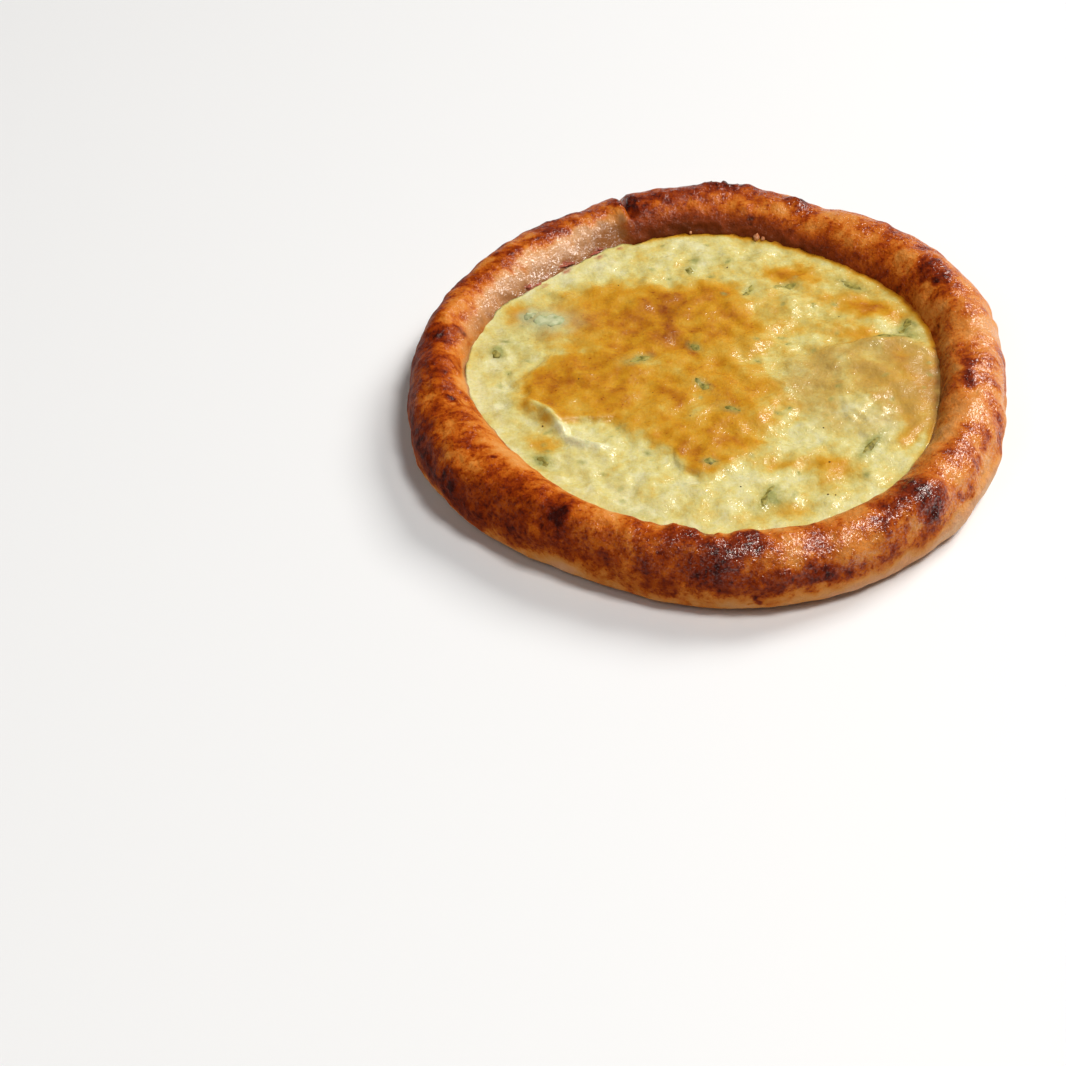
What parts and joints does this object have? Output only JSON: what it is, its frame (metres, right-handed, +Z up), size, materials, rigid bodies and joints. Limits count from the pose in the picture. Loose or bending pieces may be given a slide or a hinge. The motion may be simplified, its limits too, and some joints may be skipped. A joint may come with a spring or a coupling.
{
  "type": "round cheese pide",
  "caption": "Round flat bread with a thick rolled, browned rim round a shallow well of baked cheese, egg and herb filling; it lies flat on its base.",
  "frame": {"origin": "middle of the outline's box, on the surface that the bread rests on", "axes": "+Z up through the bread's thickness; +X to the right and +Y away, as the bread is seen from its near side with the seam at the far left"},
  "size_m": [0.2172, 0.225, 0.028],
  "materials": {
    "crust": "glazed, baked dough, browned orange-tan with dark char spots",
    "filling": "moist baked cheese and egg, pale yellow with a golden-brown skin",
    "herbs": "baked green herb leaves"
  },
  "bodies": {
    "root": {"crust": "crust", "filling": "filling"}
  },
  "joints": []
}
